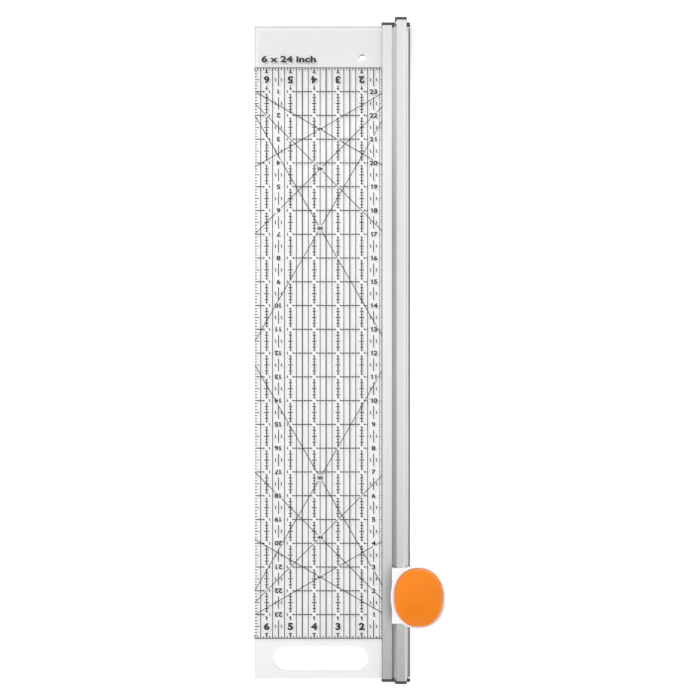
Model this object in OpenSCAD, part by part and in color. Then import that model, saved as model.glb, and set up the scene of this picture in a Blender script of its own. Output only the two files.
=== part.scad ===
// Rotary paper trimmer: a clear inch ruler with an aluminium rail bonded to its right edge.
// A carriage slides along the rail and holds a sprung, round blade just outside the rail.
// Pressing the palm button lowers the blade onto the mat; the springs lift it again.
//
// Frame: X across the ruler, Y along the cut, Z up from the mat.
// The origin is the centre of the clear plate's underside.
// Shapes of the rail and the carriage are placed from the cut line, where the blade runs.

/* [Ruler plate] */
// Width of the clear plate
plate_w = 146; // [120:1:180]
// Length of the plate and of the rail
plate_l = 697.6; // [620:0.1:900]
// Thickness of the plate
plate_t = 3; // [2.8:0.1:3.2]
// Radius of the plate's corners
plate_corner = 1.5; // [1:0.5:4]
// Length of the finger slot
slot_l = 101; // [60:1:110]
// Width of the finger slot
slot_w = 25.2; // [20:0.2:30]
// Distance from the near end of the plate to the middle of the finger slot
slot_inset = 22; // [20:0.1:40]
// Distance from the plate's middle line to the middle of the finger slot
slot_shift = -2.2; // [-8:0.1:8]
// Diameter of the hanging hole
hang_d = 7; // [4:0.5:10]
// Distance from the far end of the plate to the hanging hole
hang_inset = 34; // [20:0.1:60]
// Distance from the hanging hole to the cut line
hang_to_cut = 51; // [40:0.2:90]

/* [Rail] */
// Height of the rail's box above the mat
rail_h = 17.6; // [17:0.1:18.5]
// Width of the rail's box
box_w = 13.3; // [12.5:0.1:13.5]
// Wall thickness of the box
box_wall = 2.4; // [2:0.1:2.6]
// Width of the guide groove between the flange and the box
groove_w = 2.4; // [2.4:0.1:3.5]
// Width of the flange that lies on the plate
flange_w = 10.1; // [8:0.1:14]
// Thickness of the flange
flange_t = 1.5; // [1.2:0.1:2]
// Lean of the box's left wall, across the rail
shoulder_w = 3.1; // [1.5:0.1:3.4]
// Height of the leaning part of the box's left wall
shoulder_h = 9; // [6:0.1:9]
// Thickness of the dark end caps
cap_t = 3; // [2:0.5:5]

/* [Carriage] */
// Length of the carriage block along the rail
car_l = 58.6; // [57:0.2:60]
// Place of the carriage along the rail, from the middle
car_y = -258.4; // [-270:0.1:270]
// Width of the palm button
cap_w = 49.2; // [48:0.1:52]
// Length of the palm button
cap_l = 58.9; // [58:0.1:62]
// Radius of the palm button's dome
dome_r = 45; // [44:1:60]
// Width of the white skirt around the button
skirt_w = 57.4; // [56.4:0.1:58.4]
// Length of the white skirt around the button
skirt_l = 65.2; // [64:0.1:66]

/* [Blade] */
// Diameter of the rotary blade
blade_d = 45; // [40:1:45]
// Thickness of the blade
blade_t = 0.3; // [0.2:0.05:0.35]
// Travel of the palm button
press_travel = 3.3; // [2:0.1:3.5]
// Depth that the pressed blade enters the mat
cut_bite = 0.3; // [0.1:0.1:0.5]

/* [Hidden] */
$fn = 64;
far = 1000;
eps = 0.05;

// Heights, from the mat
tape_t = 0.3;
flange_z = plate_t + tape_t;
rail_z = 0.6;
groove_z = 2;
ledge_z = 2.6;
strip_z = 2.2;
foot_z = 1.2;
cavity_z = 3.2;
t_slot_z = 5.5;
t_slot_h = 2.5;
port_z = 9.4;
flange_top = flange_z + flange_t;

// Places across the rail, from the cut line
box_right = -3.4;
box_left = box_right - box_w;
box_chamfer = 1.1;
groove_left = box_left - groove_w;
groove_wall = 1.2;
web_left = groove_left - groove_wall;
flange_left = groove_left - flange_w;
ledge_right = -1.65;
strip_right = -0.25;
t_slot_depth = 1;
port_u = (box_left + box_right) / 2;
foot_half = 4;

// Grip strip at the ledge, with a tongue in the ledge's slot
strip_inset = 2;
tongue_w = 1.3;
tongue_z = 1.2;
tongue_h = 0.7;

// The cut line, and the ends of the clear plate
plate_gap = 0.2;
cut_x = plate_w / 2 + plate_gap - web_left;
half_l = plate_l / 2;

// Rail ends: the caps stand a little proud of the rail
cap_plug_l = 12;
cap_lip = 1.3;
cap_left = box_left + 0.2;
cap_lean = 1.2;
cap_right = box_right + 0.2;
cap_out = 0.05;
screw_seat_in = 0.6;
port_r = 2.6;
cap_screw_r = 1.45;
screw_head_r = 2.75;
screw_head_h = 2.4;

// Carriage body
run_gap = 0.3;
belly_z = ledge_z + 0.2;
roof_z = rail_h + 0.4;
block_top = roof_z + 3;
jaw_left = groove_left + 0.5;
block_right = 1;
bay_left = -2;
bay_right = 2.6;
floor_z = 5;
cap_u = 9.4;
cup_in = 1.2;
cup_wall = 2;

// Slide liners
liner_t = 0.9;
liner_gap = 0.04;
liner_l = 4.8;
liner_end = car_l / 2 - 0.3;

// Cover
cover_h = 15;
cover_gap = 0.5;
post_r = 4.3;
cover_post_h = 5;
cover_post_at = [
    [cap_u + 19, 13], [cap_u + 19, -13], [cap_u - 4, 26.5], [cap_u - 4, -26.5]
];
head_seat_z = 14;

// Button, blade holder and guide pins
button_wall = 2;
button_z = 31;
dome_top = 53;
dome_z = dome_top - dome_r;
holder_left = 2.2;
holder_t = 4;
holder_r = 14;
deck_z = 39;
deck_t = 3.2;
deck_top = deck_z + deck_t;
sleeve_z = 24;
sleeve_r = 4.5;
pin_at = [[15, 19], [15, -19]];
pin_r = 2;
pin_gap = 0.05;
pin_head_r = 3.2;
pin_head_h = 2.4;
pin_stop_z = 34;
pin_boss_z = 9;
button_screw_at = [[19, 7], [19, -7]];
boss_r = 3.5;

// Blade and its axle
blade_lift = press_travel - cut_bite;
blade_z = blade_d / 2 + blade_lift;
blade_bore_r = 4;
shoulder_bolt_r = 2.5;
hub_flange_t = 1.2;

// Return springs
spring_r = 3.2;
wire_r = 0.4;
spring_turns = 5;
spring_h = sleeve_z - pin_boss_z - 2 * eps;

// ---- Helpers ----

// Moves a shape to the cut line
module at_cut() {
    translate([cut_x, 0, 0]) children();
}

// Moves a shape to the carriage, on the cut line
module at_carriage() {
    translate([cut_x, car_y, 0]) children();
}

// Extrudes an outline drawn in X and Z along Y, centred
module along_rail(length) {
    rotate([90, 0, 0]) linear_extrude(height = length, center = true) children();
}

// A box from its lowest and highest corners
module block(low, high) {
    translate(low) cube(high - low);
}

// An upright cylinder between two heights
module post(at, r, low, high) {
    translate([at[0], at[1], low]) cylinder(r = r, h = high - low);
}

// A cylinder across the rail, between two places on X
module across(r, left, right, z) {
    translate([left, 0, z]) rotate([0, 90, 0]) cylinder(r = r, h = right - left);
}

// An oval of four arcs, w wide and l long, with end arcs of 85 % of its half width
module oval(w, l) {
    a = w / 2;
    b = l / 2;
    r_end = 0.85 * a;
    d = (pow(b - r_end, 2) - pow(a - r_end, 2)) / (2 * (a - r_end));
    r_side = a + d;
    y_join = r_side * (b - r_end) / (r_side - r_end);
    intersection() {
        translate([-d, 0]) circle(r = r_side, $fn = 128);
        translate([d, 0]) circle(r = r_side, $fn = 128);
        square([2 * w, 2 * y_join], center = true);
    }
    for (side = [-1, 1]) translate([0, side * (b - r_end)]) circle(r = r_end, $fn = 128);
}

// An upright oval prism at the button's centre, between two heights
module oval_prism(w, l, low, high) {
    translate([cap_u, 0, low]) linear_extrude(height = high - low) oval(w, l);
}

// Outline of the rail, without T slots and hollow
rail_points = [
    [flange_left, flange_z], [flange_left, flange_top], [groove_left, flange_top],
    [groove_left, groove_z], [box_left, groove_z], [box_left, rail_h - shoulder_h],
    [box_left + shoulder_w, rail_h], [box_right - box_chamfer, rail_h],
    [box_right, rail_h - box_chamfer], [box_right, ledge_z], [ledge_right, ledge_z],
    [ledge_right, rail_z], [web_left, rail_z], [web_left, flange_z]
];

// Outline of an end cap
cap_points = [
    [flange_left - cap_lip, flange_z], [flange_left - cap_lip, flange_top],
    [cap_left, flange_top], [cap_left + cap_lean, rail_h], [cap_right, rail_h],
    [cap_right, flange_top], [cap_out, flange_top], [cap_out, rail_z], [web_left, rail_z],
    [web_left, flange_z]
];

// Hollow of the rail's box, shrunk by a gap
module rail_hollow(gap) {
    low = cavity_z + gap;
    top = rail_h - box_wall - gap;
    left = box_left + box_wall + gap;
    right = box_right - box_wall - gap;
    lean_z = rail_h - shoulder_h;
    lean = shoulder_w * (top - lean_z) / shoulder_h;
    polygon([[left, low], [left, lean_z], [left + lean, top], [right, top], [right, low]]);
}

// Tube on the hollow's floor that takes the end cap's screw, grown by a gap
module screw_port(gap) {
    translate([port_u, port_z]) circle(r = port_r + gap);
    width = 2 * (1 + gap);
    translate([port_u - width / 2, cavity_z - eps]) square([width, port_z - cavity_z]);
}

// ---- Ruler and rail ----

module ruler_plate() {
    slot_y = -half_l + slot_inset;
    color([0.88, 0.93, 0.95, 0.35])
    difference() {
        union() {
            inner = [plate_w - 2 * plate_corner, plate_l - 2 * plate_corner];
            translate([0, 0, plate_t / 2]) {
                cube([inner[0], plate_l, plate_t], center = true);
                cube([plate_w, inner[1], plate_t], center = true);
            }
            for (sx = [-1, 1], sy = [-1, 1])
                post([sx * inner[0] / 2, sy * inner[1] / 2], plate_corner, 0, plate_t);
        }
        slot_c = (slot_l - slot_w) / 2;
        for (side = [-1, 1]) post([slot_shift + side * slot_c, slot_y], slot_w / 2, -1, plate_t + 1);
        translate([slot_shift, slot_y, plate_t / 2])
            cube([2 * slot_c, slot_w, plate_t + 2], center = true);
        post([cut_x - hang_to_cut, half_l - hang_inset], hang_d / 2, -1, plate_t + 1);
    }
}

module bonding_tape() {
    left = flange_left + 0.4;
    right = web_left - 0.4;
    color([0.75, 0.77, 0.78])
    at_cut() block([left, -half_l + 2, plate_t], [right, half_l - 2, flange_z]);
}

module rail() {
    color([0.84, 0.85, 0.86])
    at_cut() along_rail(plate_l) difference() {
        polygon(rail_points);
        difference() {
            rail_hollow(0);
            screw_port(0);
        }
        translate([port_u, port_z]) circle(r = cap_screw_r);
        translate([box_left - 1, t_slot_z]) square([1 + t_slot_depth, t_slot_h]);
        translate([box_right - t_slot_depth, t_slot_z]) square([1 + t_slot_depth, t_slot_h]);
        translate([port_u - foot_half, 0]) square([2 * foot_half, foot_z]);
        translate([ledge_right - tongue_w, tongue_z]) square([2 * tongue_w, tongue_h]);
    }
}

// One end cap, with its plug towards the middle of the rail; side is 1 at the far end
module end_cap(side) {
    color([0.2, 0.2, 0.21])
    at_cut() translate([0, side * half_l, 0]) difference() {
        union() {
            translate([0, side * cap_t / 2, 0]) along_rail(cap_t) polygon(cap_points);
            translate([0, -side * cap_plug_l / 2, 0]) along_rail(cap_plug_l) difference() {
                rail_hollow(0.15);
                screw_port(0.15);
            }
        }
        translate([port_u, 0, port_z]) rotate([-90 * side, 0, 0]) {
            translate([0, 0, -1]) cylinder(r = cap_screw_r, h = cap_t + 2);
            translate([0, 0, cap_t - screw_head_h / 2 - screw_seat_in])
                cylinder(r = screw_head_r + 0.1, h = cap_t);
        }
    }
}

module end_cap_far() {
    end_cap(1);
}

module end_cap_near() {
    end_cap(-1);
}

// A screw with a flat head and a hexagon socket, its head seat at zero and its shank downwards
module screw(shank_r, shank_l, head_r, head_h) {
    difference() {
        union() {
            translate([0, 0, -shank_l]) cylinder(r = shank_r, h = shank_l);
            cylinder(r = head_r, h = head_h);
        }
        translate([0, 0, head_h / 2]) cylinder(r = head_r / 2, h = head_h, $fn = 6);
    }
}

module cap_screws() {
    seat = cap_t - screw_head_h / 2 - screw_seat_in;
    color([0.6, 0.61, 0.63])
    at_cut() for (side = [-1, 1])
        translate([port_u, side * (half_l + seat), port_z]) rotate([-90 * side, 0, 0])
            screw(cap_screw_r, 10, screw_head_r, screw_head_h / 2 + 0.5);
}

module edge_grip_strip() {
    left = ledge_right + eps;
    color([0.16, 0.16, 0.17])
    at_cut() along_rail(plate_l - 2 * strip_inset) {
        translate([left, 0]) square([strip_right - left, strip_z]);
        translate([left - tongue_w + eps, tongue_z + eps]) square([tongue_w, tongue_h - 2 * eps]);
    }
}

module base_grip_strip() {
    color([0.2, 0.2, 0.21])
    at_cut() block(
        [port_u - foot_half + eps, -half_l + 5, 0],
        [port_u + foot_half - eps, half_l - 5, foot_z]
    );
}

// ---- Carriage ----

module carriage_body() {
    cup_w = skirt_w - 2 * cup_in;
    cup_l = skirt_l - 2 * cup_in;
    color([0.95, 0.95, 0.94])
    at_carriage() difference() {
        union() {
            difference() {
                union() {
                    block([jaw_left, -car_l / 2, belly_z], [block_right, car_l / 2, block_top]);
                    intersection() {
                        oval_prism(cup_w, cup_l, belly_z, block_top);
                        block([0, -far, 0], [far, far, far]);
                    }
                }
                intersection() {
                    oval_prism(cup_w - 2 * cup_wall, cup_l - 2 * cup_wall, floor_z, far);
                    block([bay_right - eps, -far, 0], [far, far, far]);
                }
                bay = blade_d / 2 + 1;
                block([bay_left, -bay, 0], [bay_right, bay, far]);
            }
            intersection() {
                union() {
                    for (at = cover_post_at) post(at, post_r, floor_z - eps, block_top);
                    for (at = pin_at) post(at, sleeve_r, floor_z - eps, pin_boss_z);
                }
                oval_prism(cup_w, cup_l, 0, far);
            }
            stop_z = blade_z - holder_r - press_travel - 0.1;
            block([bay_right, -6, floor_z - eps], [holder_left + holder_t, 6, stop_z]);
        }
        // Channel over the rail, and the pockets of the two slide liners
        block([box_left - run_gap, -far, 0], [box_right + run_gap, far, roof_z]);
        for (side = [-1, 1]) mirror([0, side > 0 ? 0 : 1, 0]) block(
            [box_left - liner_gap - liner_t - eps, liner_end - liner_l - eps, 0],
            [
                box_right + liner_gap + liner_t + eps, liner_end + eps,
                rail_h + liner_gap + liner_t + eps
            ]
        );
        for (at = cover_post_at) {
            post(at, cap_screw_r + eps, 0, far);
            post(at, screw_head_r + 0.25, 0, head_seat_z);
        }
        for (at = pin_at) post(at, pin_r, belly_z + 0.8, far);
    }
}

module rail_glides() {
    hook_h = t_slot_h - 0.3;
    left = box_left - liner_gap;
    right = box_right + liner_gap;
    top = rail_h + liner_gap;
    color([0.82, 0.83, 0.8])
    at_carriage() for (side = [-1, 1])
        translate([0, side * (liner_end - liner_l / 2), 0]) along_rail(liner_l) {
            difference() {
                translate([left - liner_t, cavity_z])
                    square([right - left + 2 * liner_t, top + liner_t - cavity_z]);
                translate([left, 0]) square([right - left, top]);
            }
            hook = t_slot_depth - 0.1;
            for (from = [left - eps, right - hook])
                translate([from, t_slot_z + 0.15]) square([hook + eps, hook_h]);
        }
}

module housing_cover() {
    top = block_top + cover_h;
    opening_w = cap_w + 2 * cover_gap;
    opening_l = cap_l + 2 * cover_gap;
    color([0.97, 0.97, 0.96])
    at_carriage() difference() {
        union() {
            difference() {
                oval_prism(skirt_w, skirt_l, block_top, top);
                oval_prism(opening_w, opening_l, block_top - 1, top + 1);
            }
            intersection() {
                oval_prism(skirt_w - 1, skirt_l - 1, block_top, top);
                for (at = cover_post_at) post(at, post_r, block_top, block_top + cover_post_h);
            }
        }
        for (at = cover_post_at)
            post(at, cap_screw_r + eps, block_top - 1, block_top + cover_post_h - 1);
    }
}

module cover_screws() {
    shank_l = block_top + cover_post_h - 1.5 - head_seat_z;
    color([0.6, 0.61, 0.63])
    at_carriage() for (at = cover_post_at)
        translate([at[0], at[1], head_seat_z]) rotate([180, 0, 0])
            screw(cap_screw_r, shank_l, screw_head_r, screw_head_h);
}

module guide_pins() {
    color([0.7, 0.71, 0.73])
    at_carriage() for (at = pin_at) translate([at[0], at[1], pin_stop_z])
        screw(pin_r, pin_stop_z - belly_z - 0.8, pin_head_r, pin_head_h);
}

// Section of the coil at one height: a lens wrapped around the coil's radius.
// Its half angle makes the coiled wire round.
function coil_section(half_angle, steps) = concat(
    [for (i = [-steps:steps]) let (t = i / steps) coil_point(t, 1, half_angle)],
    [for (i = [-steps + 1:steps - 1]) let (t = -i / steps) coil_point(t, -1, half_angle)]
);
function coil_point(t, side, half_angle) =
    (spring_r + side * wire_r * sqrt(1 - t * t)) * [cos(t * half_angle), sin(t * half_angle)];

module return_springs() {
    pitch = spring_h / spring_turns;
    half_angle = 360 * wire_r / pitch;
    color([0.72, 0.73, 0.75])
    at_carriage() for (at = pin_at)
        translate([at[0], at[1], pin_boss_z + eps])
            linear_extrude(
                height = spring_h, twist = -360 * spring_turns, slices = 16 * spring_turns, $fn = 4
            ) polygon(coil_section(half_angle, 3));
}

// ---- Blade unit ----

module palm_button() {
    inner_w = cap_w - 2 * button_wall;
    inner_l = cap_l - 2 * button_wall;
    color([0.96, 0.53, 0.13])
    at_carriage() difference() {
        intersection() {
            oval_prism(cap_w, cap_l, button_z, dome_top + 1);
            translate([cap_u, 0, dome_z]) sphere(r = dome_r);
        }
        difference() {
            intersection() {
                oval_prism(inner_w, inner_l, button_z - 1, dome_top);
                translate([cap_u, 0, dome_z]) sphere(r = dome_r - button_wall);
            }
            for (at = button_screw_at) post(at, boss_r, deck_top, dome_top);
        }
        for (at = button_screw_at) post(at, cap_screw_r + eps, deck_top - 1, deck_top + 6);
    }
}

module button_screws() {
    color([0.6, 0.61, 0.63])
    at_carriage() for (at = button_screw_at)
        translate([at[0], at[1], deck_z]) rotate([180, 0, 0])
            screw(cap_screw_r, deck_t + 5.5, screw_head_r, screw_head_h);
}

module blade_holder() {
    left = holder_left;
    right = left + holder_t;
    deck_right = 24;
    deck_half = 23;
    color([0.25, 0.26, 0.27])
    at_carriage() difference() {
        union() {
            across(holder_r, left, right, blade_z);
            block([left, -holder_r, blade_z], [right, holder_r, deck_z + 1]);
            translate([0, 0, deck_z]) linear_extrude(height = deck_t) polygon([
                [left, -holder_r], [left, holder_r], [11, deck_half], [19, deck_half],
                [deck_right, 12], [deck_right, -12], [19, -deck_half], [11, -deck_half]
            ]);
            for (side = [-1, 1]) translate([0, side * 12.5, 0]) along_rail(2)
                polygon([[right - 1, 30], [right - 1, deck_z + 1], [right + 9, deck_z + 1]]);
            for (at = pin_at) post(at, sleeve_r, sleeve_z, deck_top);
        }
        across(pin_r + pin_gap, left - 1, right + 1, blade_z);
        for (at = pin_at) {
            post(at, pin_r + pin_gap, sleeve_z - 1, deck_top + 1);
            post(at, pin_head_r + 0.2, pin_stop_z - 0.02, deck_top + 1);
        }
        for (at = button_screw_at) post(at, cap_screw_r + eps, deck_z - 1, deck_top + 1);
    }
}

module axle_bolt() {
    head_left = -1.8;
    head_right = -0.4;
    color([0.55, 0.56, 0.58])
    at_carriage() difference() {
        union() {
            across(6, head_left, head_right, blade_z);
            across(shoulder_bolt_r, head_right - eps, holder_left, blade_z);
            across(pin_r, holder_left - eps, holder_left + holder_t + 4, blade_z);
        }
        block([head_left - 1, -4.5, blade_z - 0.6], [head_left + 0.7, 4.5, blade_z + 0.6]);
    }
}

module axle_nut() {
    left = holder_left + holder_t;
    color([0.62, 0.63, 0.65])
    at_carriage() difference() {
        translate([left, 0, blade_z]) rotate([0, 90, 0]) cylinder(r = 4.04, h = 3.2, $fn = 6);
        across(pin_r + eps, left - 1, left + 5, blade_z);
    }
}

module spring_washer() {
    left = blade_t / 2 + hub_flange_t + 0.05;
    color([0.66, 0.67, 0.69])
    at_carriage() difference() {
        across(4.5, left, holder_left, blade_z);
        across(shoulder_bolt_r + 0.1, left - 1, holder_left + 1, blade_z);
    }
}

module blade_hub() {
    color([0.15, 0.15, 0.16])
    at_carriage() difference() {
        union() {
            across(8, blade_t / 2, blade_t / 2 + hub_flange_t, blade_z);
            across(blade_bore_r, -0.3, blade_t / 2 + eps, blade_z);
        }
        across(shoulder_bolt_r + pin_gap, -1, 3, blade_z);
    }
}

module rotary_blade() {
    bevel = 1.6;
    half = blade_t / 2;
    color([0.78, 0.8, 0.82])
    at_carriage() translate([0, 0, blade_z]) rotate([0, 90, 0])
        rotate_extrude($fn = 128) polygon([
            [blade_bore_r, -half], [blade_d / 2 - bevel, -half], [blade_d / 2, -0.02],
            [blade_d / 2, 0.02], [blade_d / 2 - bevel, half], [blade_bore_r, half]
        ]);
}

ruler_plate();
bonding_tape();
rail();
end_cap_far();
end_cap_near();
cap_screws();
edge_grip_strip();
base_grip_strip();
carriage_body();
rail_glides();
housing_cover();
cover_screws();
guide_pins();
return_springs();
palm_button();
button_screws();
blade_holder();
axle_bolt();
axle_nut();
spring_washer();
blade_hub();
rotary_blade();
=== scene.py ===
import math

import bmesh
import bpy
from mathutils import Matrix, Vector


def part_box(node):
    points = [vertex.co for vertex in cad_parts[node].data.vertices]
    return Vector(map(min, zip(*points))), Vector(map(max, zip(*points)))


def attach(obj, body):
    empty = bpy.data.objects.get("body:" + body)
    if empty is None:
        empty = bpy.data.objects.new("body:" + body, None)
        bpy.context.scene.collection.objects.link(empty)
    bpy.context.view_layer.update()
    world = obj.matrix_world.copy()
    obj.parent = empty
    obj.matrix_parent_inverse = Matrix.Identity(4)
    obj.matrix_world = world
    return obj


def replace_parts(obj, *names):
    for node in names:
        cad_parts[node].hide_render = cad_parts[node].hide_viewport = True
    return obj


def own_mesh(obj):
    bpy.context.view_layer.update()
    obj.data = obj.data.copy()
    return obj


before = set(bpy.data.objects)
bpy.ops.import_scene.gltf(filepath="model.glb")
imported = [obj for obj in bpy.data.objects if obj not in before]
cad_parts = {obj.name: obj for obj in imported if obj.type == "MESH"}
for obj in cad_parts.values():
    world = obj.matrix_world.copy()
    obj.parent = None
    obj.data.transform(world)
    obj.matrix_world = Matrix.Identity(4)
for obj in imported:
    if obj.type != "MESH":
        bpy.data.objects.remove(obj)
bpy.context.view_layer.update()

MM = 0.001
INCH = 0.0254

# Places that the rest of the scene is built from, all read from the frame
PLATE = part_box("ruler_plate")
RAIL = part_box("rail")
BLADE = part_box("rotary_blade")
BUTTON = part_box("palm_button")
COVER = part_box("housing_cover")
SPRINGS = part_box("return_springs")
CUT_X = (BLADE[0].x + BLADE[1].x) / 2
CARRIAGE_Y = (BLADE[0].y + BLADE[1].y) / 2
PLATE_TOP = PLATE[1].z
FLANGE_LEFT = RAIL[0].x
FLANGE_RIGHT = FLANGE_LEFT + 10 * MM
LEDGE_LEFT = CUT_X - 3.4 * MM
# The printed grid counts from just inside the blade, and sits a little towards the near end
GRID_ZERO = CUT_X - 0.8 * MM
GRID_MIDDLE = -0.8 * MM
GRID_FAR = GRID_MIDDLE + 12 * INCH
GRID_NEAR = GRID_MIDDLE - 12 * INCH
# Places along the ruler, beside s.y in the materials, are in metres from its middle. Some tones run
# evenly from minus this place to plus this place.
TONE_END = 0.3
# The colour sockets of a mix node
MIX_A = 6
MIX_B = 7
MIX_OUT = 2


# ---------------------------------------------------------------- node materials

class Shader:
    """A node material, with short calls for the nodes that the materials below share."""

    def __init__(self, name):
        self.mat = bpy.data.materials.new(name)
        self.mat.use_nodes = True
        self.tree = self.mat.node_tree
        self.tree.nodes.clear()
        self.out = self.tree.nodes.new("ShaderNodeOutputMaterial")
        self.bsdf = self.tree.nodes.new("ShaderNodeBsdfPrincipled")
        self.link(self.bsdf.outputs[0], self.out.inputs["Surface"])
        self.coords = self.tree.nodes.new("ShaderNodeTexCoord").outputs["Object"]
        place = self.node("ShaderNodeSeparateXYZ", Vector=self.coords)
        self.x = place.outputs["X"]
        self.y = place.outputs["Y"]

    def link(self, source, target):
        self.tree.links.new(source, target)

    def node(self, kind, **inputs):
        made = self.tree.nodes.new(kind)
        for key, value in inputs.items():
            self.feed(made.inputs[key.replace("_", " ")], value)
        return made

    def feed(self, socket, value):
        if isinstance(value, bpy.types.NodeSocket):
            self.link(value, socket)
        else:
            socket.default_value = value

    def set(self, **inputs):
        for key, value in inputs.items():
            self.feed(self.bsdf.inputs[key.replace("_", " ")], value)

    def scaled(self, scale):
        """Object coordinates in metres, times scale on each axis."""
        made = self.node("ShaderNodeMapping", Vector=self.coords)
        made.inputs["Scale"].default_value = scale
        return made.outputs[0]

    def noise(self, scale, detail=3.0, roughness=0.55):
        made = self.node("ShaderNodeTexNoise", Vector=self.scaled(scale))
        made.inputs["Scale"].default_value = 1.0
        made.inputs["Detail"].default_value = detail
        made.inputs["Roughness"].default_value = roughness
        return made.outputs["Fac"]

    def remap(self, value, low, high, to_low, to_high):
        made = self.node("ShaderNodeMapRange", Value=value)
        for key, number in zip(
            ("From Min", "From Max", "To Min", "To Max"), (low, high, to_low, to_high)
        ):
            made.inputs[key].default_value = number
        return made.outputs[0]

    def math(self, operation, a, b=0.0):
        made = self.tree.nodes.new("ShaderNodeMath")
        made.operation = operation
        self.feed(made.inputs[0], a)
        self.feed(made.inputs[1], b)
        return made.outputs[0]

    def product(self, first, *others):
        for value in others:
            first = self.math("MULTIPLY", first, value)
        return first

    def line(self, value, centre, half, fade):
        """1 where a value is within half of a centre, falling to 0 at fade from it."""
        off = self.math("ABSOLUTE", self.math("SUBTRACT", value, centre))
        return self.remap(off, half, fade, 1.0, 0.0)

    def mix(self, factor, a, b):
        """Colour a at factor 0 and colour b at factor 1."""
        made = self.tree.nodes.new("ShaderNodeMix")
        made.data_type = "RGBA"
        self.feed(made.inputs[0], factor)
        for socket, value in ((made.inputs[MIX_A], a), (made.inputs[MIX_B], b)):
            self.feed(socket, value if isinstance(value, bpy.types.NodeSocket) else (*value, 1.0))
        return made.outputs[MIX_OUT]

    def bump(self, height, strength, distance):
        made = self.node("ShaderNodeBump", Height=height)
        made.inputs["Strength"].default_value = strength
        made.inputs["Distance"].default_value = distance
        return made.outputs[0]

    def sideways(self, low, high):
        """1 on faces that point across the Z axis and 0 on flat ones, between two slopes."""
        normal = self.tree.nodes.new("ShaderNodeNewGeometry").outputs["Normal"]
        split = self.node("ShaderNodeSeparateXYZ", Vector=normal)
        return self.remap(self.math("ABSOLUTE", split.outputs["Z"]), low, high, 1.0, 0.0)

    def openness(self, reach, samples):
        """1 in the open, and less where other surfaces stand within reach."""
        made = self.tree.nodes.new("ShaderNodeAmbientOcclusion")
        made.samples = samples
        made.inputs["Distance"].default_value = reach
        return made.outputs["AO"]

    def edge_wear(self, low, high):
        """0 on flat stretches and 1 on convex edges."""
        point = self.tree.nodes.new("ShaderNodeNewGeometry").outputs["Pointiness"]
        return self.remap(point, low, high, 0.0, 1.0)


def glue_line(s):
    """Painted shadow of the flange's edge, in a line on the sheet beside the rail. It is darkest past
    the near border of the print, and fades towards the far end."""
    amount = s.math(
        "MAXIMUM",
        s.remap(s.y, -TONE_END, TONE_END, 0.72, 0.36),
        s.remap(s.y, GRID_NEAR, GRID_NEAR + MM, 0.95, 0.0),
    )
    return s.product(s.line(s.x, FLANGE_LEFT - 0.35 * MM, 0.25 * MM, 0.95 * MM), amount)


def sheet_colour(s, rim):
    """Slightly hazy. Painted light makes the far part of the print lighter, and a painted highlight
    runs in a line just inside the edges.
    """
    sheet = s.mix(s.noise((9, 9, 9), 2.0), (0.668, 0.663, 0.66), (0.692, 0.687, 0.684))
    # Painted light: the sheet is lighter over the far part of the print
    painted_far_light = s.product(
        s.remap(s.y, 0.0, 0.27, 0.0, 1.0),
        s.remap(s.y, GRID_FAR, GRID_FAR + 0.3 * MM, 1.0, 0.0),
    )
    sheet = s.mix(painted_far_light, sheet, (0.733, 0.729, 0.726))
    # Painted highlight in a line just inside the edges
    painted_edge_glint = s.product(
        s.remap(rim, 1.6 * MM, 2.2 * MM, 0.0, 1.0),
        s.remap(rim, 3.5 * MM, 5.0 * MM, 1.0, 0.0),
        s.remap(s.y, -TONE_END, TONE_END, 0.05, 0.55),
    )
    return s.mix(painted_edge_glint, sheet, (0.78, 0.776, 0.773))


def sawn_edges(s, rim, from_far):
    """Painted shade on the sawn walls, and a painted dark line along the left and far edges."""
    # Painted shade on the upright walls near the edges
    walls = s.product(s.sideways(0.6, 0.98), s.remap(rim, 1.0 * MM, 2.0 * MM, 0.4, 0.0))
    amount = s.math(
        "MAXIMUM",
        s.remap(s.y, -TONE_END, TONE_END, 0.12, 0.38),
        s.remap(from_far, 2.0 * MM, 5.0 * MM, 0.62, 0.0),
    )
    # Painted dark line just inside the left and far edges
    painted_edge_line = s.product(s.line(rim, 1.15 * MM, 0.35 * MM, 0.8 * MM), amount)
    return s.math("MAXIMUM", walls, painted_edge_line)


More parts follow.
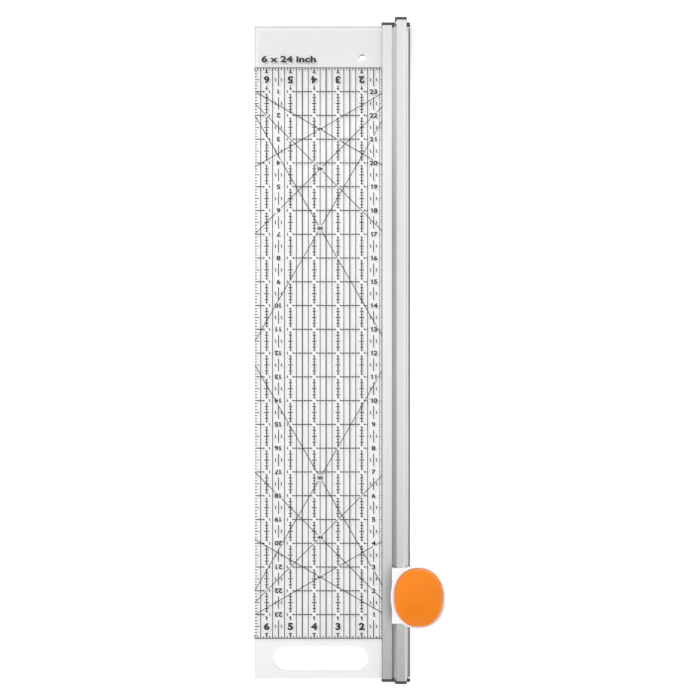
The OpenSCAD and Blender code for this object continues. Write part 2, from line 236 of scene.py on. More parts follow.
def acrylic():
    """Clear sheet with fine scratches, painted light and shade along its edges and over the print, and
    a painted shadow line beside the rail.
    """
    s = Shader("clear_acrylic")
    scratches = s.noise((90, 14, 90), 4.0)
    from_far = s.math("SUBTRACT", PLATE[1].y, s.y)
    rim = s.math("MINIMUM", s.math("SUBTRACT", s.x, PLATE[0].x), from_far)
    # Painted shade along the edges, over the sheet's own colour
    edged = s.mix(sawn_edges(s, rim, from_far), sheet_colour(s, rim), (0.4, 0.405, 0.405))
    s.set(
        # Painted shadow of the flange's edge, as a dark line on the sheet beside the rail
        Base_Color=s.mix(glue_line(s), edged, (0.2, 0.2, 0.2)),
        Roughness=s.remap(scratches, 0.35, 0.75, 0.015, 0.07),
        IOR=1.49,
        Normal=s.bump(s.noise((1400, 160, 1400), 2.0), 0.05, 0.02 * MM),
    )
    s.bsdf.inputs["Specular IOR Level"].default_value = 0.25
    s.bsdf.inputs["Transmission Weight"].default_value = 1.0
    # Lamps and bounced light pass straight through, so that the floor below is lit
    clear = s.node("ShaderNodeBsdfTransparent", Color=(0.93, 0.935, 0.935, 1.0))
    path = s.tree.nodes.new("ShaderNodeLightPath")
    soft = s.math("MAXIMUM", path.outputs["Is Shadow Ray"], path.outputs["Is Diffuse Ray"])
    both = s.node("ShaderNodeMixShader", Fac=soft)
    s.link(s.bsdf.outputs[0], both.inputs[1])
    s.link(clear.outputs[0], both.inputs[2])
    s.link(both.outputs[0], s.out.inputs["Surface"])
    return s.mat


def ink():
    s = Shader("print_ink")
    density = s.noise((700, 700, 700), 3.0)
    s.set(
        Base_Color=s.mix(density, (0.012, 0.012, 0.013), (0.035, 0.035, 0.037)),
        Roughness=s.remap(density, 0.3, 0.7, 0.4, 0.6),
    )
    return s.mat


def on_flange(s):
    return s.remap(s.x, FLANGE_RIGHT, FLANGE_RIGHT + 0.6 * MM, 1.0, 0.0)


def on_ledge(s):
    return s.remap(s.x, LEDGE_LEFT, LEDGE_LEFT + 0.2 * MM, 0.0, 1.0)


def rail_polish(s, near_fade):
    """Painted highlights on the rail: the flange, brighter along its middle than at its ends, the open
    ledge, and a line along the box's top."""
    # Painted light: the flange is brighter along its middle than at its ends
    painted_flange_light = s.math(
        "MINIMUM",
        s.remap(s.y, -0.34, 0.02, 0.05, 1.0),
        s.remap(s.y, 0.24, 0.33, 1.0, 0.1),
    )
    # Painted highlight in a line along the box's top
    painted_ridge_highlight = s.product(s.line(s.x, CUT_X - 5.6 * MM, 0.35 * MM, 0.7 * MM), 0.9, near_fade)
    flange = s.product(on_flange(s), painted_flange_light)
    # Painted light on the flange, the open ledge and the line along the box's top
    return s.math("MAXIMUM", flange, s.math("MAXIMUM", on_ledge(s), painted_ridge_highlight))


def carriage_shade(s):
    """The carriage takes part of the light of the flange beside it. The flange's own distance
    from the rail's box is allowed for."""
    beside_box = s.remap(s.x, FLANGE_LEFT, FLANGE_RIGHT, 0.0, 0.16)
    open_sky = s.math("ADD", s.openness(20 * MM, 16), beside_box)
    return s.product(s.remap(open_sky, 0.72, 0.84, 0.6, 0.0), on_flange(s))


def groove_dirt(s, far_fade):
    """Painted shade in the corners of the guide groove. The open ledge is left out."""
    groove = s.remap(s.x, CUT_X - 9 * MM, CUT_X - 7 * MM, 1.0, 0.0)
    # Painted shade where other surfaces stand within 3.5 mm
    return s.product(s.remap(s.openness(3.5 * MM, 8), 0.3, 0.72, 1.0, 0.0), far_fade, groove)


def aluminium():
    """Drawn metal: streaks along the rail, painted highlights, and painted shade on sides and edges,
    beside the carriage and in the groove's corners.
    """
    s = Shader("drawn_aluminium")
    fine = s.noise((5200, 6, 5200), 4.0, 0.7)
    bands = s.noise((420, 1.2, 420), 2.0)
    patches = s.noise((30, 9, 30), 3.0)
    # Painted shade in the groove and on the sides fades towards the far end
    far_fade = s.remap(s.y, 0.13, 0.32, 1.0, 0.3)
    # Painted highlight and shade fade towards the near end
    near_fade = s.remap(s.y, -0.34, -0.26, 0.35, 1.0)
    streaks = s.math("ADD", s.product(fine, 0.55), s.product(bands, 0.45))
    tone = s.mix(streaks, (0.74, 0.738, 0.742), (0.91, 0.905, 0.9))
    # Painted highlights on the flange, the ledge and the box's top
    tone = s.mix(rail_polish(s, near_fade), tone, (0.925, 0.92, 0.92))
    # Painted shade on sloped and upright faces, less towards both ends
    tone = s.mix(s.product(s.sideways(0.55, 0.95), far_fade, near_fade), tone, (0.46, 0.465, 0.47))
    tone = s.mix(carriage_shade(s), tone, (0.2, 0.205, 0.215))
    dull = s.math("ADD", s.remap(fine, 0.3, 0.7, 0.2, 0.34), s.remap(patches, 0.3, 0.7, -0.03, 0.04))
    s.set(
        # Painted shade in the corners of the guide groove
        Base_Color=s.mix(groove_dirt(s, far_fade), tone, (0.2, 0.205, 0.21)),
        Metallic=1.0,
        Roughness=s.math("SUBTRACT", dull, s.product(on_ledge(s), 0.12)),
        Normal=s.bump(fine, 0.12, 0.04 * MM),
    )
    return s.mat


def moulded(name, colour, darker, rough, grain, depth, subsurface=0.0, shine=0.5, walls=None):
    """Moulded plastic: a colour with slight mottling, fine mould texture and rubbed edges.
    walls is a painted shade colour for upright faces, darker than the top, where it is given."""
    s = Shader(name)
    mottle = s.noise((35, 35, 35), 3.0)
    texture = s.noise((grain, grain, grain), 3.0, 0.6)
    wear = s.edge_wear(0.54, 0.66)
    base = s.mix(mottle, darker, colour)
    if walls:
        # Painted shade: upright faces take the darker walls colour
        base = s.mix(s.sideways(0.2, 0.75), base, walls)
    lifted = tuple(min(1.0, c * 1.15 + 0.02) for c in colour)
    dull = s.remap(texture, 0.3, 0.7, rough - 0.06, rough + 0.06)
    s.set(
        Base_Color=s.mix(s.product(wear, 0.5), base, lifted),
        Roughness=s.math("SUBTRACT", dull, s.product(wear, 0.1)),
        IOR=1.5,
        Normal=s.bump(texture, 0.25, depth),
    )
    s.bsdf.inputs["Specular IOR Level"].default_value = shine
    if subsurface:
        s.bsdf.inputs["Subsurface Weight"].default_value = subsurface
        s.bsdf.inputs["Subsurface Scale"].default_value = 2 * MM
    return s.mat


def steel(name, colour, rough, stretch):
    """Brushed or drawn steel, with its grain stretched as the three scales say."""
    s = Shader(name)
    grain = s.noise(stretch, 4.0, 0.65)
    stain = s.noise((160, 160, 160), 3.0)
    dark = tuple(c * 0.72 for c in colour)
    s.set(
        Base_Color=s.mix(s.product(s.math("ADD", grain, stain), 0.5), dark, colour),
        Metallic=1.0,
        Roughness=s.remap(grain, 0.3, 0.7, rough - 0.08, rough + 0.1),
        Normal=s.bump(grain, 0.2, 0.03 * MM),
    )
    return s.mat


RINGS_PER_METRE = 3100.0


def blade_steel():
    """Ground steel with rings around the blade's axle and a brighter bevel."""
    s = Shader("ground_blade_steel")
    centre = s.node("ShaderNodeCombineXYZ", X=CUT_X, Y=CARRIAGE_Y, Z=(BLADE[0].z + BLADE[1].z) / 2)
    away = s.tree.nodes.new("ShaderNodeVectorMath")
    away.operation = "DISTANCE"
    s.link(s.coords, away.inputs[0])
    s.link(centre.outputs[0], away.inputs[1])
    radius = away.outputs["Value"]
    rings = s.math("FRACT", s.product(radius, RINGS_PER_METRE))
    wobble = s.noise((260, 260, 260), 4.0)
    rim = (BLADE[1].z - BLADE[0].z) / 2
    bevel = s.remap(radius, rim - 1.7 * MM, rim - 1.5 * MM, 0.0, 1.0)
    flat = s.mix(s.product(rings, wobble), (0.55, 0.56, 0.58), (0.74, 0.75, 0.77))
    s.set(
        Base_Color=s.mix(bevel, flat, (0.9, 0.91, 0.93)),
        Metallic=1.0,
        Roughness=s.math("SUBTRACT", s.remap(wobble, 0.3, 0.7, 0.2, 0.34), s.product(bevel, 0.1)),
        Normal=s.bump(rings, 0.08, 0.01 * MM),
    )
    return s.mat


def tape():
    s = Shader("bonding_tape")
    bubbles = s.noise((500, 60, 500), 3.0)
    s.set(
        Base_Color=s.mix(bubbles, (0.55, 0.57, 0.58), (0.72, 0.74, 0.75)),
        Roughness=s.remap(bubbles, 0.3, 0.7, 0.35, 0.6),
        Normal=s.bump(bubbles, 0.2, 0.05 * MM),
    )
    return s.mat


def floor_material():
    """Plain pale floor, bright as paper on a light table, a little less so at both ends."""
    s = Shader("pale_floor")
    near = s.remap(s.y, -0.34, -0.26, 0.42, 0.55)
    far = s.remap(s.y, 0.24, 0.325, 0.55, 0.25)
    glow = s.math("MINIMUM", near, far)
    s.set(Base_Color=(0.9, 0.9, 0.9, 1.0), Roughness=0.9)
    s.bsdf.inputs["Emission Color"].default_value = (1.0, 1.0, 1.0, 1.0)
    s.link(glow, s.bsdf.inputs["Emission Strength"])
    return s.mat


MATERIALS = {
    "acrylic": acrylic(),
    "ink": ink(),
    "aluminium": aluminium(),
    "white": moulded(
        "white_plastic",
        (0.9, 0.9, 0.885),
        (0.85, 0.85, 0.84),
        rough=0.33,
        grain=2600,
        depth=0.02 * MM,
        subsurface=0.05,
        # Painted shade on upright faces: greyer than the top
        walls=(0.55, 0.575, 0.59),
    ),
    "orange": moulded(
        "orange_plastic",
        (0.8, 0.214, 0.006),
        (0.745, 0.184, 0.004),
        rough=0.36,
        grain=2200,
        depth=0.02 * MM,
        subsurface=0.03,
        shine=0.25,
    ),
    "dark": moulded(
        "dark_plastic",
        (0.055, 0.055, 0.058),
        (0.04, 0.04, 0.042),
        rough=0.5,
        grain=3200,
        depth=0.05 * MM,
    ),
    "holder": moulded(
        "holder_plastic",
        (0.07, 0.072, 0.078),
        (0.045, 0.046, 0.05),
        rough=0.55,
        grain=1800,
        depth=0.06 * MM,
    ),
    "hub": moulded(
        "hub_plastic",
        (0.03, 0.03, 0.032),
        (0.02, 0.02, 0.022),
        rough=0.4,
        grain=2600,
        depth=0.03 * MM,
    ),
    "rubber": moulded(
        "grip_rubber",
        (0.05, 0.05, 0.054),
        (0.035, 0.035, 0.038),
        rough=0.78,
        grain=1500,
        depth=0.08 * MM,
        shine=0.3,
    ),
    "glide": moulded(
        "glide_plastic",
        (0.78, 0.79, 0.74),
        (0.7, 0.71, 0.66),
        rough=0.38,
        grain=900,
        depth=0.03 * MM,
        subsurface=0.1,
    ),
    "screw": steel("zinc_steel", (0.62, 0.63, 0.66), rough=0.32, stretch=(900, 900, 900)),
    "spring": steel("spring_steel", (0.66, 0.66, 0.68), rough=0.26, stretch=(1200, 1200, 1200)),
    "blade": blade_steel(),
    "tape": tape(),
}


# ---------------------------------------------------------------- mesh helpers

def new_piece(name, points, faces, material, body, smooth=None):
    """A mesh object on a body. smooth is the angle in degrees under which edges are shaded round."""
    mesh = bpy.data.meshes.new(name)
    mesh.from_pydata(points, [], faces)
    bm = bmesh.new()
    bm.from_mesh(mesh)
    bmesh.ops.recalc_face_normals(bm, faces=bm.faces)
    bm.to_mesh(mesh)
    bm.free()
    obj = bpy.data.objects.new(name, mesh)
    bpy.context.scene.collection.objects.link(obj)
    obj.data.materials.append(MATERIALS[material])
    if smooth is not None:
        shade(obj, smooth)
    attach(obj, body)
    return obj


def shade(obj, degrees):
    """Rounds the shading across edges that turn less than an angle."""
    for polygon in obj.data.polygons:
        polygon.use_smooth = True
    bm = bmesh.new()
    bm.from_mesh(obj.data)
    for edge in bm.edges:
        turn = edge.calc_face_angle(0.0)
        edge.smooth = turn < math.radians(degrees)
    bm.to_mesh(obj.data)
    bm.free()


def finish_node(name, material, bevel_mm=0.0, segments=2, angle=35):
    """Gives a CAD node its material and rounds its sharp edges."""
    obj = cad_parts[name]
    obj.data.materials.clear()
    obj.data.materials.append(MATERIALS[material])
    if bevel_mm:
        soft = obj.modifiers.new("edges", "BEVEL")
        soft.width = bevel_mm * MM
        soft.segments = segments
        soft.limit_method = "ANGLE"
        soft.angle_limit = math.radians(angle)
        soft.use_clamp_overlap = True
        soft.harden_normals = False
    return obj


def rings_to_faces(rings, per_ring, closed=True):
    """Quads between rings of points, and between the last ring and the first when closed."""
    faces = []
    last = rings if closed else rings - 1
    for i in range(last):
        low = i * per_ring
        high = ((i + 1) % rings) * per_ring
        for j in range(per_ring):
            k = (j + 1) % per_ring
            faces.append((low + j, low + k, high + k, high + j))
    return faces


# ---------------------------------------------------------------- print on the plate

class Print:
    """Ink on the plate, as thin closed boxes. Columns are inches left of the grid's zero,
    and rows are inches from the far border of the grid."""

    GAP = 0.004 * MM
    THICK = 0.03 * MM
    ROWS = 24

    def __init__(self):
        self.points = []
        self.faces = []

    def at(self, column, row):
        return GRID_ZERO - column * INCH, GRID_MIDDLE + (self.ROWS / 2 - row) * INCH

    def prism(self, corners):
        """A thin upright prism on the plate from its corners in X and Y."""
        start = len(self.points)
        count = len(corners)
        for z in (PLATE_TOP + self.GAP, PLATE_TOP + self.GAP + self.THICK):
            self.points += [(x, y, z) for x, y in corners]
        self.faces.append(tuple(start + i for i in reversed(range(count))))
        self.faces.append(tuple(start + count + i for i in range(count)))
        for i in range(count):
            j = (i + 1) % count
            self.faces.append((start + i, start + j, start + count + j, start + count + i))

    def stroke(self, a, b, width):
        """A line between two (column, row) places."""
        ax, ay = self.at(*a)
        bx, by = self.at(*b)
        length = math.hypot(bx - ax, by - ay)
        nx = -(by - ay) / length * width / 2
        ny = (bx - ax) / length * width / 2
        self.prism([(ax + nx, ay + ny), (bx + nx, by + ny), (bx - nx, by - ny), (ax - nx, ay - ny)])

    def across(self, column, row, reach, width):
        """A short horizontal tick, centred."""
        self.stroke((column - reach / 2, row), (column + reach / 2, row), width)

    def along(self, column, row, reach, width):
        """A short vertical tick, centred."""
        self.stroke((column, row - reach / 2), (column, row + reach / 2), width)

    def piece(self, name):
        return new_piece(name, self.points, self.faces, "ink", "ruler")


GRID_LEFT = (GRID_ZERO - PLATE[0].x) / INCH - 0.02
GRID_RIGHT = (GRID_ZERO - FLANGE_LEFT) / INCH + 0.012
TICKED = (6, 5, 4, 3, 2)
THIN = (6.25, 5.75, 5.25, 4.75, 4.25, 3.75, 3.25, 2.75, 2.25, 1.75, 1.25)
BOLD = (4.5, 3.5, 2.5)
NUMBER_COLUMNS = (5.5, 1.5)
LABEL_COLUMN = 3.75
# The three crossings: the degrees in their label, the slope of their lines, and their row
ANGLES = ((60, 30, 2.58), (45, 45, 4.25), (30, 60, 6.75))
W_HAIR = 0.5 * MM
W_THIN = 0.86 * MM
W_BOLD = 1.2 * MM
W_TICK = 1.0 * MM
W_WIDE_TICK = W_TICK * 1.15
W_ROW = 0.8 * MM
# The dashes of an inch column beside a border: start, end and width of each, and its ticks as
# (place, length), all but the width in inches from the border
BORDER_DASHES = (
    (0, 0.21, W_BOLD, ((0.21, 0.15), (0.125, 0.07))),
    (0.76, 0.94, W_TICK, ((0.875, 0.1), (0.78, 0.06))),
)
# The dashes of an inch row, and the columns of its ticks at the left edge and beside the numbers
ROW_DASHES = ((4.92, 4.08), (3.92, 3.08), (2.92, 2.08), (1.92, 1.77))
LEFT_TICKS = (6.375, 6.25, 6.125)
NUMBER_TICKS = (5.875, 5.125)
# In inches: the tick at each eighth between two rows, the room that upright and slanted lines leave
# round a label, half the height of a row number's box, and half its width for one digit and for two
EIGHTH_TICKS = (0.085, 0.14, 0.085, 0.2, 0.085, 0.14, 0.085)
LABEL_GAP = 0.13
LABEL_CLEAR = 0.15
NUMBER_HALF = 0.13
DIGITS_HALF = (0.1, 0.17)
# Height of the row numbers, the step between their digits in inches, and the outline of a figure
# one in shares of the height
ROW_TEXT = 5.2 * MM
DIGIT_STEP = 0.162
FIGURE_ONE = (
    (-0.04, -0.5),
    (0.23, -0.5),
    (0.23, 0.5),
    (0.06, 0.5),
    (-0.2, 0.3),
    (-0.2, 0.12),
    (-0.04, 0.22),
)


def ruled_lines():
    """The solid lines along the ruler, and the two borders."""
    p = Print()
    for column in THIN + BOLD:
        width = W_BOLD if column in BOLD else W_HAIR if column == min(THIN) else W_THIN
        stops = [0.0]
        if column == LABEL_COLUMN:
            for _, _, row in ANGLES:
                stops += [row - LABEL_GAP, row + LABEL_GAP]
            stops += [p.ROWS - s for s in reversed(stops[1:])]
        stops.append(p.ROWS)
        for start, end in zip(stops[::2], stops[1::2]):
            p.stroke((column, start), (column, end), width)
    for row in (0, p.ROWS):
        p.stroke((GRID_LEFT, row), (GRID_RIGHT, row), W_THIN)
    return p.piece("print_ruled_lines")


def ticked_columns():
    """The inch columns: broken lines with a tick at every eighth of an inch."""
    p = Print()
    row_gap = 0.09
    for column in TICKED:
        for side in (0, 1):
            flip = (lambda r: p.ROWS - r) if side else (lambda r: r)
            for start, end, width, ticks in BORDER_DASHES:
                p.stroke((column, flip(start)), (column, flip(end)), width)
                for place, reach in ticks:
                    p.across(column, flip(place), reach, W_TICK)
        for row in range(1, p.ROWS - 1):
            p.stroke((column, row + row_gap), (column, row + 1 - row_gap), W_TICK)
            for eighth, reach in enumerate(EIGHTH_TICKS, 1):
                width = W_TICK * (1.1 if eighth % 2 else 1.0)
                p.across(column, row + eighth / 8, reach, width)
    return p.piece("print_ticked_columns")


def inch_rows():
    """The inch rows across the ruler, with ticks, and gaps where they meet a column."""
    p = Print()
    for row in range(1, p.ROWS):
        for start, end in ROW_DASHES:
            p.stroke((start, row), (end, row), W_ROW)
        for eighth in range(15, 40):
            if eighth % 8:
                p.along(eighth / 8, row, 0.06 if eighth % 2 else 0.045, W_WIDE_TICK)
        p.stroke((GRID_LEFT, row), (6.08, row), W_ROW)
        for column in LEFT_TICKS:
            p.along(column, row, 0.06, W_WIDE_TICK)
        for column in NUMBER_TICKS:
            p.along(column, row, 0.11, W_TICK)
    return p.piece("print_inch_rows")


def edge_scales():
    """Eighths along the left edge and the borders, and sixteenths beside the rail."""
    p = Print()
    for step in range(1, p.ROWS * 8):
        length = 0.19 if step % 4 == 0 else 0.11
        if step % 8:
            p.stroke((GRID_LEFT, step / 8), (GRID_LEFT - length, step / 8), W_TICK * 0.85)
    for step in range(10, int(GRID_LEFT * 8) + 1):
        if step % 8:
            length = 0.12 if step % 4 == 0 else 0.09
            for row, way in ((0, 1), (p.ROWS, -1)):
                p.stroke((step / 8, row), (step / 8, row + way * length), W_TICK)
    for step in range(1, p.ROWS * 16):
        reach = 0.09 if step % 8 == 0 else 0.06 if step % 2 == 0 else 0.045
        p.stroke((GRID_RIGHT, step / 16), (GRID_RIGHT + reach, step / 16), W_TICK * 0.7)
    return p.piece("print_edge_scales")


def number_columns():
    """Broken centre lines and side dashes of the two columns of small numbers."""
    p = Print()
    number_gap = 0.23
    dash = 0.14
    for column in NUMBER_COLUMNS:
        for row in range(p.ROWS):
            start = 0.0 if row == 0 else number_gap
            end = 1.0 if row == p.ROWS - 1 else 1 - number_gap
            p.stroke((column, row + start), (column, row + end), W_TICK)
            for side in (-0.125, 0.125):
                p.along(column + side, row + 0.5, dash, W_TICK)
    return p.piece("print_number_columns")


def clear_spans(column, row, rise, run):
    """Shares of a slanted line, from its crossing out to a run of columns, that are drawn.
    The line leaves its label and the row numbers free. rise is its rows per column."""
    slant = math.hypot(1, rise)
    spans = [(LABEL_CLEAR / slant, abs(run))]
    for number_column in NUMBER_COLUMNS:
        away = (number_column - column) * (1 if run > 0 else -1)
        if not 0 < away < abs(run):
            continue
        number_row = round(row + away * rise)
        if not 0 < number_row < Print.ROWS:
            continue
        # The stretch of the line inside the number's box
        upside_down = number_column == NUMBER_COLUMNS[0]
        number = number_row if upside_down else Print.ROWS - number_row
        half = DIGITS_HALF[number >= 10]
        middle = (number_row - row) / rise
        reach_rows = NUMBER_HALF / abs(rise)
        low = max(away - half, middle - reach_rows)
        high = min(away + half, middle + reach_rows)
        if low < high:
            start, end = spans.pop()
            spans += [(start, low), (high, end)]
    return [(start, end) for start, end in spans if end > start]


def angle_lines():
    """The 30, 45 and 60 degree lines that cross on the label column, at both ends."""
    p = Print()
    for _, slope, row in ANGLES:
        rise = math.tan(math.radians(slope))
        for centre in (row, p.ROWS - row):
            for side, limit in ((1, GRID_LEFT), (-1, GRID_RIGHT)):
                for turn in (-1, 1):
                    # Stop at the grid's edge, or at the border that the line runs towards
                    room = centre if turn < 0 else p.ROWS - centre
                    run = min(abs(limit - LABEL_COLUMN), room / rise)
                    for start, end in clear_spans(LABEL_COLUMN, centre, turn * rise, side * run):
                        near = (LABEL_COLUMN + side * start, centre + turn * start * rise)
                        far = (LABEL_COLUMN + side * end, centre + turn * end * rise)
                        p.stroke(near, far, W_THIN * 0.9)
    return p.piece("print_angle_lines")


def lettering(name, words, widen):
    """Flat numbers on the plate. words holds (text, column, row, height in mm, weight, turned)."""
    points = []
    faces = []
    low = PLATE_TOP + Print.GAP
    half_thick = 0.02
    for text, column, row, height, weight, turned in words:
        curve = bpy.data.curves.new("glyphs", "FONT")
        curve.body = text
        curve.align_x = "CENTER"
        curve.align_y = "CENTER"
        curve.offset = weight
        curve.extrude = half_thick
        curve.resolution_u = 4
        holder = bpy.data.objects.new("glyphs", curve)
        bpy.context.scene.collection.objects.link(holder)
        depsgraph = bpy.context.evaluated_depsgraph_get()
        mesh = bpy.data.meshes.new_from_object(holder.evaluated_get(depsgraph))
        bm = bmesh.new()
        bm.from_mesh(mesh)
        bmesh.ops.remove_doubles(bm, verts=bm.verts, dist=0.0005)
        xs = [v.co.x for v in bm.verts]
        ys = [v.co.y for v in bm.verts]
        middle = Vector(((min(xs) + max(xs)) / 2, (min(ys) + max(ys)) / 2, -half_thick))
        size = height * MM / (max(ys) - min(ys))
        x, y = Print().at(column, row)
        turn = -1 if turned else 1
        start = len(points)
        bm.verts.index_update()
        for v in bm.verts:
            co = v.co - middle
            z = low + co.z / (2 * half_thick) * Print.THICK
            points.append((x + turn * co.x * size * widen, y + turn * co.y * size, z))
        faces += [tuple(start + v.index for v in f.verts) for f in bm.faces]
        bm.free()
        bpy.data.objects.remove(holder)
        bpy.data.meshes.remove(mesh)
    return new_piece(name, points, faces, "ink", "ruler")


def row_number(small, ones, number, column, row, turned):
    """Lays out a row number digit by digit. The figure one is a stem with a slanted flag."""
    turn = -1 if turned else 1
    digits = str(number)
    for i, digit in enumerate(digits):
        place = column - turn * (i - (len(digits) - 1) / 2) * DIGIT_STEP
        if digit == "1":
            x, y = ones.at(place, row)
            corners = [(x + turn * a * ROW_TEXT, y + turn * b * ROW_TEXT) for a, b in FIGURE_ONE]
            ones.prism(corners)
        else:
            small.append((digit, place, row, ROW_TEXT / MM, 0.045, turned))


def numbers():
    """Inch numbers at both ends, upright at the near end, and the row numbers of both hands."""
    big = []
    for column in TICKED:
        big.append((str(column), column, Print.ROWS - 0.5, 7.9, 0.052, False))
        big.append((str(column), column, 0.5, 7.9, 0.052, True))
    small = []
    labels = []
    ones = Print()
    for row in range(1, Print.ROWS):
        row_number(small, ones, row, NUMBER_COLUMNS[0], row, True)
        row_number(small, ones, Print.ROWS - row, NUMBER_COLUMNS[1], row, False)
    for label, _, row in ANGLES:
        labels.append((str(label), LABEL_COLUMN, row, 3.7, 0.06, True))
        labels.append((str(label), LABEL_COLUMN, Print.ROWS - row, 3.7, 0.06, False))
    lettering("print_inch_numbers", big, 1.2)
    lettering("print_row_numbers", small, 1.25)
    ones.piece("print_row_ones")
    lettering("print_angle_numbers", labels, 1.3)
    lettering("print_size_note", [("6 x 24 inch", 5.07, -0.37, 7.2, 0.04, False)], 1.45)


# ---------------------------------------------------------------- button, cover, springs

# The power of the superellipse that the button and the cover share, and the points around it
POWER = 2.25
AROUND = 160


def oval_ring(centre, half_w, half_l, z):
    """Points of an upright superellipse ring."""
    points = []
    for i in range(AROUND):
        a = 2 * math.pi * i / AROUND
        c, s = math.cos(a), math.sin(a)
        x = half_w * math.copysign(abs(c) ** (2 / POWER), c)
        y = half_l * math.copysign(abs(s) ** (2 / POWER), s)
        points.append((centre[0] + x, centre[1] + y, z))
    return points


def oval_shell(name, box, walls, profile, material, body):
    """A closed ring swept round the oval. walls is its thickness at the sides and at the ends,
    and profile is (share of the wall inwards from the outside, z)."""
    centre = ((box[0].x + box[1].x) / 2, (box[0].y + box[1].y) / 2)
    half_w = (box[1].x - box[0].x) / 2
    half_l = (box[1].y - box[0].y) / 2
    points = []
    for share, z in profile:
        points += oval_ring(centre, half_w - share * walls[0], half_l - share * walls[1], z)
    faces = rings_to_faces(len(profile), AROUND)
    return new_piece(name, points, faces, material, body, 40)


def palm_button():
    """The domed button as one closed shell, with a rounded shoulder and an inner ceiling."""
    low, high = BUTTON
    centre = ((low.x + high.x) / 2, (low.y + high.y) / 2)
    half_w = (high.x - low.x) / 2
    half_l = (high.y - low.y) / 2
    wall = 2.0 * MM
    shoulder = 3.2 * MM
    shoulder_z = high.z - 9.5 * MM
    rim = 0.4 * MM
    draft = 0.1 * MM
    # How steeply the ceiling and the dome fall towards their edges
    ceiling_power = 2.3
    dome_power = 2.1
    rings = []
    # Inner ceiling from its middle out, down the inner wall, round the rim and up the side
    dome = 22
    for i in range(1, dome + 1):
        t = i / dome
        z = high.z - wall - (high.z - shoulder_z - shoulder * 0.35) * t ** ceiling_power
        inset = wall + shoulder * 0.3
        rings.append(((half_w - inset) * t, (half_l - inset) * t, z))
    rings.append((half_w - wall, half_l - wall, shoulder_z - 3.0 * MM))
    rings.append((half_w - wall, half_l - wall, low.z + rim))
    rings.append((half_w - wall + rim, half_l - wall + rim, low.z))
    rings.append((half_w - rim, half_l - rim, low.z))
    rings.append((half_w, half_l, low.z + rim))
    rings.append((half_w, half_l, (low.z + shoulder_z) / 2))
    rings.append((half_w - draft, half_l - draft, shoulder_z - 1.2 * MM))
    # Round shoulder, then the dome to the top
    steps = 9
    lean = 62
    for i in range(steps + 1):
        a = math.radians(lean * i / steps)
        inset = draft + shoulder * (1 - math.cos(a))
        rings.append((half_w - inset, half_l - inset, shoulder_z + shoulder * math.sin(a)))
    start_w, start_l, start_z = rings[-1]
    rise = high.z - start_z
    for i in range(1, dome):
        t = 1 - i / dome
        z = start_z + rise * (1 - t ** dome_power)
        rings.append((start_w * t, start_l * t, z))
    points = []
    for a, b, z in rings:
        points += oval_ring(centre, a, b, z)
    faces = rings_to_faces(len(rings), AROUND, closed=False)
    faces.append(tuple(reversed(range(AROUND))))
    top = (len(rings) - 1) * AROUND
    faces.append(tuple(top + i for i in range(AROUND)))
    piece = new_piece("palm_button_shell", points, faces, "orange", "blade_unit", 50)
    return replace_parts(piece, "palm_button")


def housing_cover():
    """The white skirt: an oval wall with a round lip and a small step at its foot. Its profile
    goes up the inside, over the lip and down the outside."""
    low, high = COVER
    gap = 0.1 * MM
    walls = (
        (high.x - low.x - BUTTON[1].x + BUTTON[0].x) / 2 - gap,
        (high.y - low.y - BUTTON[1].y + BUTTON[0].y) / 2 - gap,
    )
    lip = 1.2 * MM
    profile = [(1.0, low.z + 0.3 * MM), (1.0, high.z - lip)]
    steps = 14
    for i in range(1, steps):
        a = math.pi * i / steps
        profile.append(((1 + math.cos(a)) / 2, high.z - lip + lip * math.sin(a)))
    profile += [(0.0, high.z - lip), (0.04, low.z + 9 * MM), (0.0, low.z + 3 * MM)]
    profile += [(0.0, low.z + 1.2 * MM), (0.05, low.z + 0.9 * MM), (0.18, low.z + 0.8 * MM)]
    profile += [(0.18, low.z + 0.1 * MM), (0.25, low.z), (0.9, low.z)]
    piece = oval_shell("housing_cover_shell", COVER, walls, profile, "white", "carriage")
    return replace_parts(piece, "housing_cover")


def coil(name, x, y, low, high):
    """One compression spring with closed, ground ends, as a round wire along a helix."""
    wire = 0.4 * MM
    radius = 3.2 * MM
    turns = 6.5
    flat_turns = 0.9
    ease = 0.25
    steps = int(turns * 40)
    sides = 12
    points = []
    for i in range(steps + 1):
        t = i / steps
        turn = t * turns
        # The first and last turn lie flat against the seats
        climb = min(max((turn - flat_turns) / (turns - 2 * flat_turns), 0.0), 1.0)
        rise = climb * climb * (3 - 2 * climb) * ease + climb * (1 - ease)
        z = low + wire + (high - low - 2 * wire) * rise
        a = 2 * math.pi * turn
        out = Vector((math.cos(a), math.sin(a), 0))
        up = Vector((0, 0, 1))
        middle = Vector((x, y, z)) + out * radius
        for k in range(sides):
            b = 2 * math.pi * k / sides
            points.append(tuple(middle + (out * math.cos(b) + up * math.sin(b)) * wire))
    faces = rings_to_faces(steps + 1, sides, closed=False)
    faces.append(tuple(reversed(range(sides))))
    faces.append(tuple(steps * sides + k for k in range(sides)))
    piece = new_piece(name, points, faces, "spring", "carriage", 60)
    return piece


def return_springs():
    low, high = SPRINGS
    reach = (high.x - low.x) / 2
    x = (low.x + high.x) / 2
    for name, y in (("return_spring_near", low.y + reach), ("return_spring_far", high.y - reach)):
        piece = coil(name, x, y, low.z, high.z)
        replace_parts(piece, "return_springs")
        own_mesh(piece)


# ---------------------------------------------------------------- carried-over CAD nodes

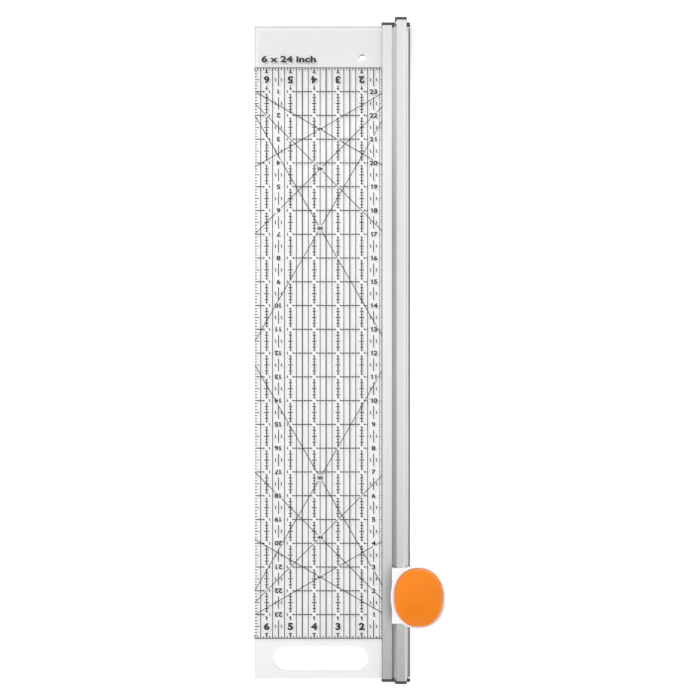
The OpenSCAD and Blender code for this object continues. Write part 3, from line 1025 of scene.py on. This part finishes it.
def dress_nodes():
    finish_node("ruler_plate", "acrylic", 0.6, 2)
    finish_node("bonding_tape", "tape")
    finish_node("rail", "aluminium", 0.4, 3, 30)
    for name in ("end_cap_far", "end_cap_near"):
        finish_node(name, "dark", 0.35, 3, 30)
    for name in ("edge_grip_strip", "base_grip_strip"):
        finish_node(name, "rubber", 0.12, 2)
    finish_node("carriage_body", "white", 0.35, 3)
    finish_node("rail_glides", "glide", 0.12, 2)
    for name in ("cap_screws", "cover_screws", "guide_pins", "button_screws", "axle_bolt", "axle_nut"):
        finish_node(name, "screw", 0.15, 2)
    finish_node("spring_washer", "spring", 0.06, 2)
    finish_node("blade_holder", "holder", 0.3, 2)
    finish_node("blade_hub", "hub", 0.15, 2)
    finish_node("rotary_blade", "blade")


# ---------------------------------------------------------------- floor, light, camera

def stage():
    """A large floor, just far enough under the ruler for the pressed blade."""
    size = 4.0
    z = -0.6 * MM
    mesh = bpy.data.meshes.new("floor")
    corners = [(-size, -size, z), (size, -size, z), (size, size, z), (-size, size, z)]
    mesh.from_pydata(corners, [], [(0, 1, 2, 3)])
    floor = bpy.data.objects.new("floor", mesh)
    bpy.context.scene.collection.objects.link(floor)
    floor.data.materials.append(floor_material())


def sky():
    """Soft white surroundings. Overhead they darken past the near end, as beyond a softbox's edge.
    Lower down the sky stays pale."""
    world = bpy.data.worlds.new("studio")
    bpy.context.scene.world = world
    world.use_nodes = True
    tree = world.node_tree
    tree.nodes.clear()
    out = tree.nodes.new("ShaderNodeOutputWorld")
    background = tree.nodes.new("ShaderNodeBackground")
    coords = tree.nodes.new("ShaderNodeTexCoord")
    split = tree.nodes.new("ShaderNodeSeparateXYZ")
    along = tree.nodes.new("ShaderNodeMapRange")
    along.inputs["From Min"].default_value = -1.0
    along.inputs["From Max"].default_value = 1.0
    tree.links.new(coords.outputs["Generated"], split.inputs[0])
    tree.links.new(split.outputs["Y"], along.inputs["Value"])
    ramp = tree.nodes.new("ShaderNodeValToRGB")
    tree.links.new(along.outputs[0], ramp.inputs[0])
    stops = ramp.color_ramp.elements
    stops[0].position = 0.1
    stops[0].color = (0.95, 0.95, 0.95, 1)
    stops[1].position = 0.2
    stops[1].color = (0.12, 0.12, 0.115, 1)
    for place, colour in ((0.345, (0.12, 0.12, 0.115)), (0.5, (1, 1, 1)), (0.7, (0.96, 0.98, 1.0))):
        stops.new(place).color = (*colour, 1)
    overhead = tree.nodes.new("ShaderNodeMapRange")
    overhead.inputs["From Min"].default_value = 0.6
    overhead.inputs["From Max"].default_value = 0.85
    overhead.inputs["To Min"].default_value = 0.3
    tree.links.new(split.outputs["Z"], overhead.inputs["Value"])
    mix = tree.nodes.new("ShaderNodeMix")
    mix.data_type = "RGBA"
    mix.inputs[MIX_A].default_value = (1, 1, 1, 1)
    tree.links.new(overhead.outputs[0], mix.inputs[0])
    tree.links.new(ramp.outputs[0], mix.inputs[MIX_B])
    tree.links.new(mix.outputs[MIX_OUT], background.inputs["Color"])
    background.inputs["Strength"].default_value = 1.0
    tree.links.new(background.outputs[0], out.inputs["Surface"])


def lamp(name, place, size, power):
    """A round lamp that points at the ruler's middle and leaves no mirror image of itself."""
    data = bpy.data.lights.new(name, "AREA")
    data.shape = "DISK"
    data.size = size
    data.energy = power
    obj = bpy.data.objects.new(name, data)
    obj.location = place
    obj.rotation_euler = (-Vector(place)).to_track_quat("-Z", "Y").to_euler()
    obj.visible_glossy = False
    bpy.context.scene.collection.objects.link(obj)


def camera():
    """Looks straight down. It stands over the carriage's side, and its lens is shifted so that
    the ruler fills the picture. The shift lasts only while the camera keeps this rotation mode."""
    height = 1.1
    side = 0.748
    film = 36
    middle = (0.0294, 0.0025)
    place = (0.1152, -0.1508)
    data = bpy.data.cameras.new("camera")
    data.sensor_width = film
    data.lens = film * height / side
    data.clip_end = 20
    obj = bpy.data.objects.new("camera", data)
    obj.location = (*place, height + PLATE_TOP)
    bpy.context.scene.collection.objects.link(obj)
    bpy.context.scene.camera = obj
    for i, path in enumerate(("shift_x", "shift_y")):
        driver = data.driver_add(path).driver
        mode = driver.variables.new()
        mode.name = "mode"
        mode.targets[0].id = obj
        mode.targets[0].data_path = "rotation_mode"
        driver.expression = f"{(middle[i] - place[i]) / side:.5f} * mode"


def main():
    dress_nodes()
    ruled_lines()
    ticked_columns()
    inch_rows()
    edge_scales()
    number_columns()
    angle_lines()
    numbers()
    palm_button()
    housing_cover()
    return_springs()
    stage()
    sky()
    lamp("key", (-0.9, 0.9, 2.2), size=0.5, power=26)
    lamp("fill", (1.0, -1.0, 1.6), size=0.8, power=5)
    camera()
    bpy.context.scene.view_settings.view_transform = "Standard"


main()
